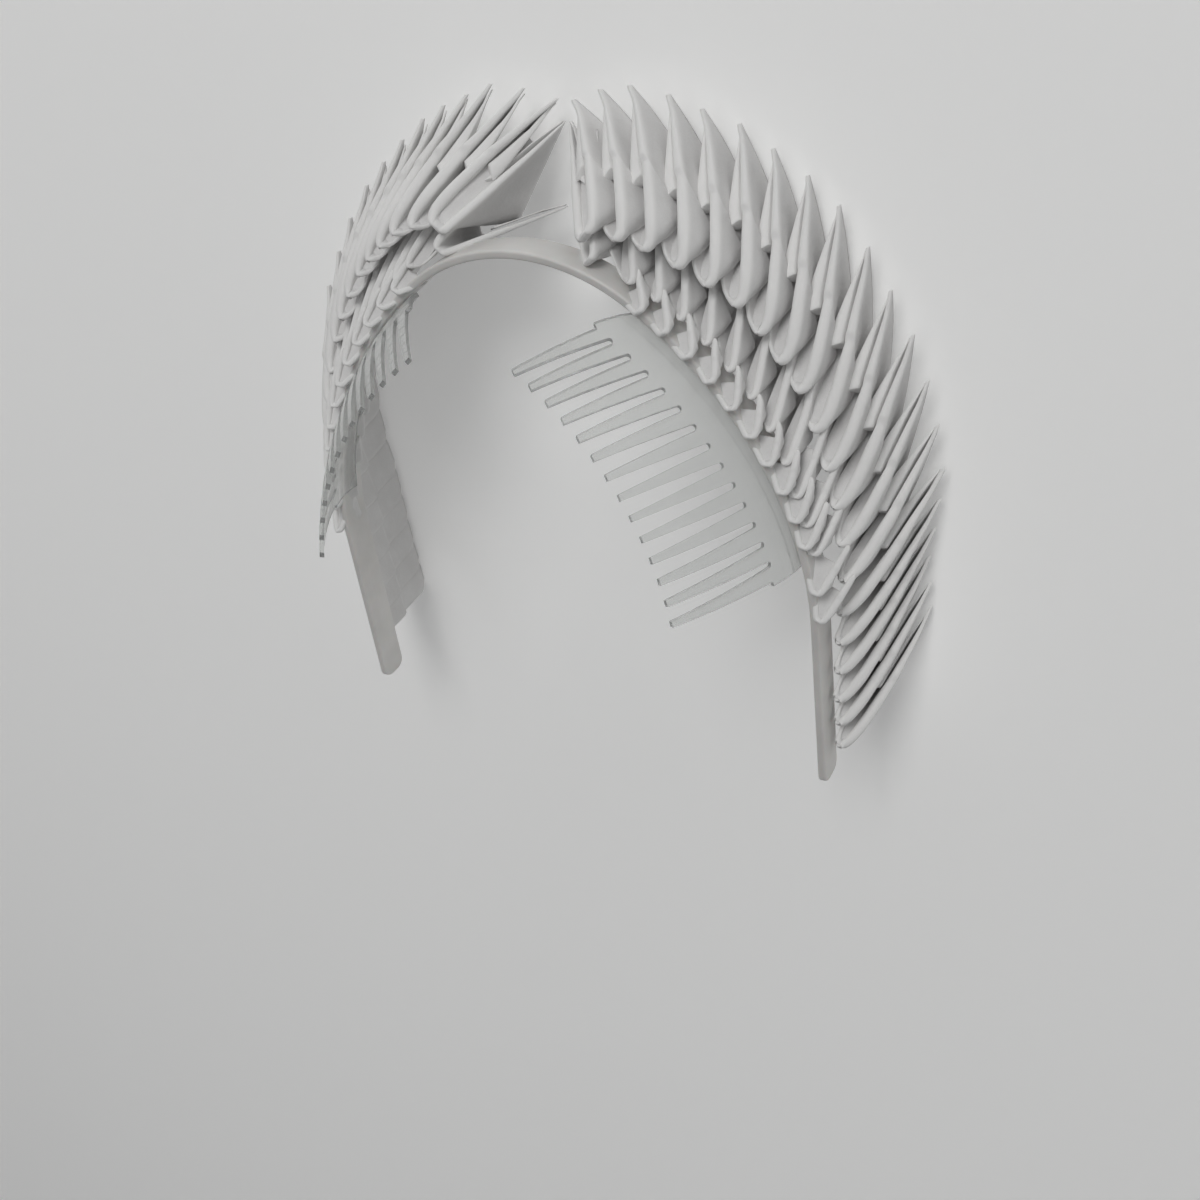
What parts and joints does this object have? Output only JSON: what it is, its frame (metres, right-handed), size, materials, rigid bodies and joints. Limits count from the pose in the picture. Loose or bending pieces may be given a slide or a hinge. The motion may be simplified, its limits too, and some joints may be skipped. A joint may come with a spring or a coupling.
{
  "type": "origami headpiece",
  "caption": "Plastic headband with two fan wings of folded paper units and two clear side combs under the band.",
  "frame": {"origin": "middle of the box on the table under the headpiece, which lies on its face", "axes": "+X to the wearer's left, -Y to the crown, +Y to the leg ends, +Z to the back of the head"},
  "size_m": [0.184, 0.1702, 0.0707],
  "materials": {
    "paper": "matte",
    "band": "satin",
    "clear": "glossy"
  },
  "bodies": {
    "root": {"headband": "band", "comb_right": "clear", "comb_left": "clear", "outer_right_00": "paper", "outer_right_01": "paper", "outer_right_02": "paper", "outer_right_03": "paper", "outer_right_04": "paper", "outer_right_05": "paper", "outer_right_06": "paper", "outer_right_07": "paper", "outer_right_08": "paper", "outer_right_09": "paper", "outer_right_10": "paper", "outer_right_11": "paper", "outer_right_12": "paper", "outer_right_13": "paper", "outer_right_14": "paper", "outer_right_15": "paper", "outer_right_16": "paper", "outer_right_17": "paper", "outer_right_18": "paper", "outer_right_19": "paper", "outer_left_00": "paper", "outer_left_01": "paper", "outer_left_02": "paper", "outer_left_03": "paper", "outer_left_04": "paper", "outer_left_05": "paper", "outer_left_06": "paper", "outer_left_07": "paper", "outer_left_08": "paper", "outer_left_09": "paper", "outer_left_10": "paper", "outer_left_11": "paper", "outer_left_12": "paper", "outer_left_13": "paper", "outer_left_14": "paper", "outer_left_15": "paper", "outer_left_16": "paper", "outer_left_17": "paper", "outer_left_18": "paper", "outer_left_19": "paper", "middle_right": "paper", "middle_left": "paper", "inner_right": "paper", "inner_left": "paper"}
  },
  "joints": []
}
